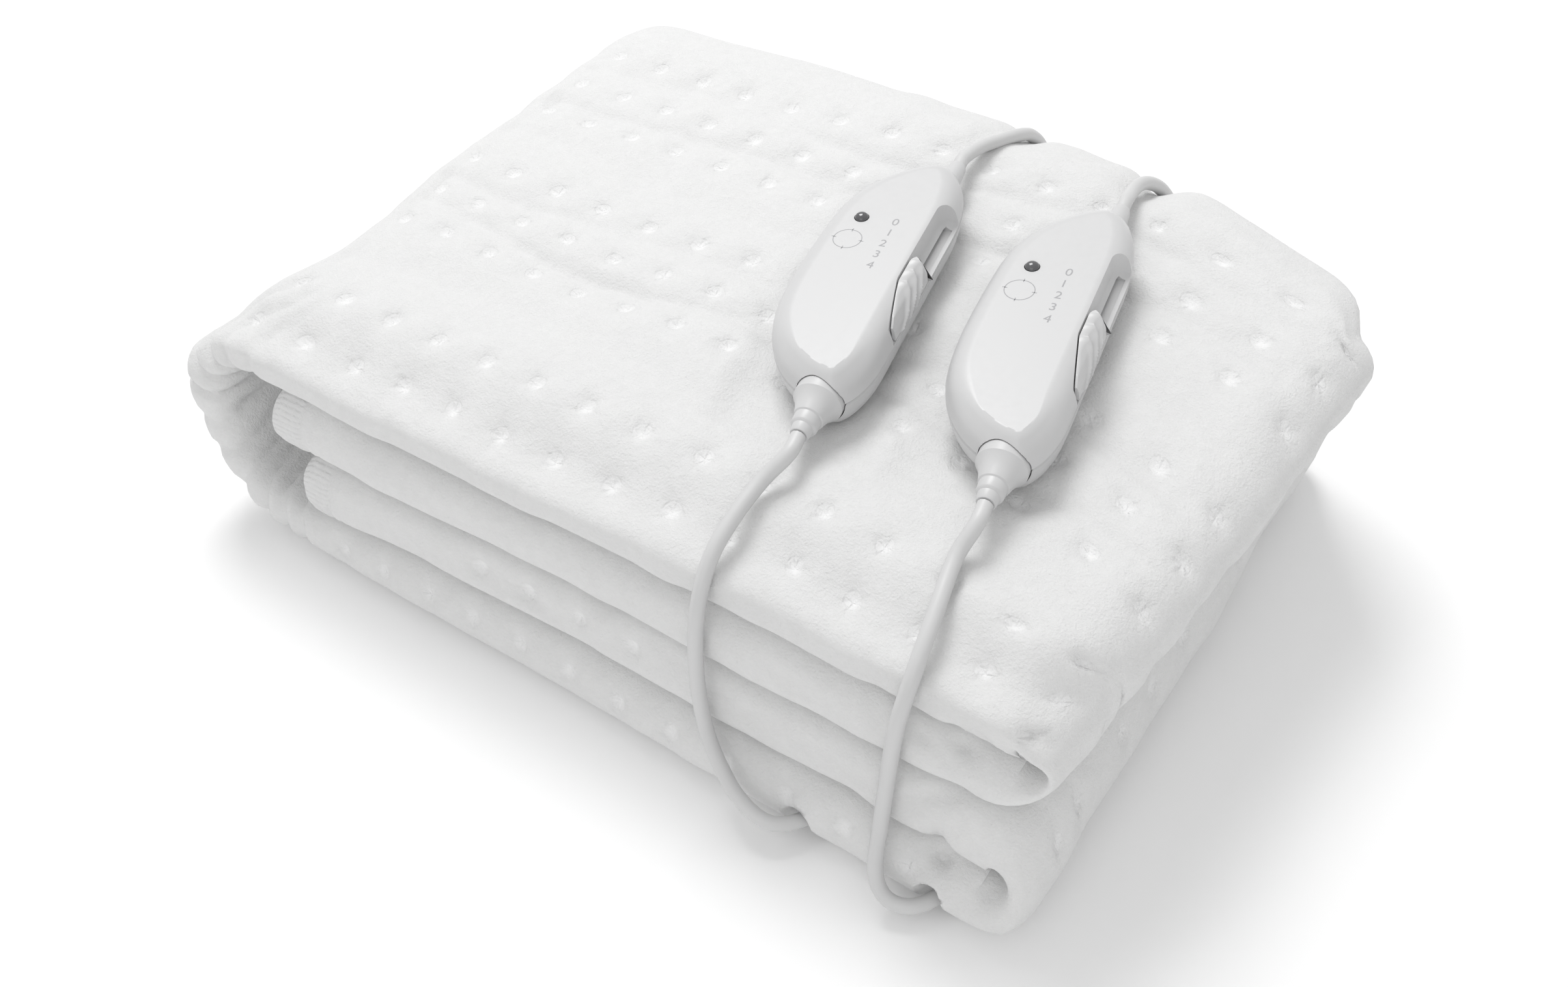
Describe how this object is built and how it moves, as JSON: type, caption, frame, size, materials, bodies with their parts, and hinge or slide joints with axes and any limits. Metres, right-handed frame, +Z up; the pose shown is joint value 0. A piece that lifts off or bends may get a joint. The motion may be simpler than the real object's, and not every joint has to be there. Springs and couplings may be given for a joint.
{
  "type": "electric underblanket",
  "caption": "White fleece electric underblanket, folded into a pack, with two corded slide controllers lying on top.",
  "frame": {"origin": "on the surface that the pack rests on, under the middle of the pack's length and depth", "axes": "+Z up; +X along the folded strip, from the rounded spine to the double folds; -Y is the front, with the folded front edges"},
  "size_m": [0.4311, 0.3991, 0.1306],
  "materials": {
    "fleece": "brushed fleece, spot welded",
    "shell": "satin moulded",
    "cord_jacket": "smooth flexible jacket",
    "lamp": "polished lens",
    "tie": "plain strap",
    "pin": "nickel plated"
  },
  "bodies": {
    "pack": {"blanket": "fleece", "base_shell_left": "shell", "top_shell_left": "shell", "lamp_left": "lamp", "strain_relief_left": "shell", "nose_sleeve_left": "shell", "blanket_lead_left": "cord_jacket", "mains_lead_left": "cord_jacket", "mains_tail_left": "cord_jacket", "mains_coil_left": "cord_jacket", "coil_tie_left": "tie", "plug_body_left": "shell", "plug_pin_a_left": "pin", "plug_pin_b_left": "pin", "base_shell_right": "shell", "top_shell_right": "shell", "lamp_right": "lamp", "strain_relief_right": "shell", "nose_sleeve_right": "shell", "blanket_lead_right": "cord_jacket", "mains_lead_right": "cord_jacket", "mains_tail_right": "cord_jacket", "mains_coil_right": "cord_jacket", "coil_tie_right": "tie", "plug_body_right": "shell", "plug_pin_a_right": "pin", "plug_pin_b_right": "pin"},
    "left_slide": {"slider_left": "shell"},
    "right_slide": {"slider_right": "shell"}
  },
  "joints": [
    {"name": "left_heat_slide", "type": "slide", "parent": "pack", "child": "left_slide", "axis": [-0.2215, 0.9751, 0], "range_m": [0, 0.0258]},
    {"name": "right_heat_slide", "type": "slide", "parent": "pack", "child": "right_slide", "axis": [-0.2215, 0.9751, 0], "range_m": [0, 0.0258]}
  ]
}
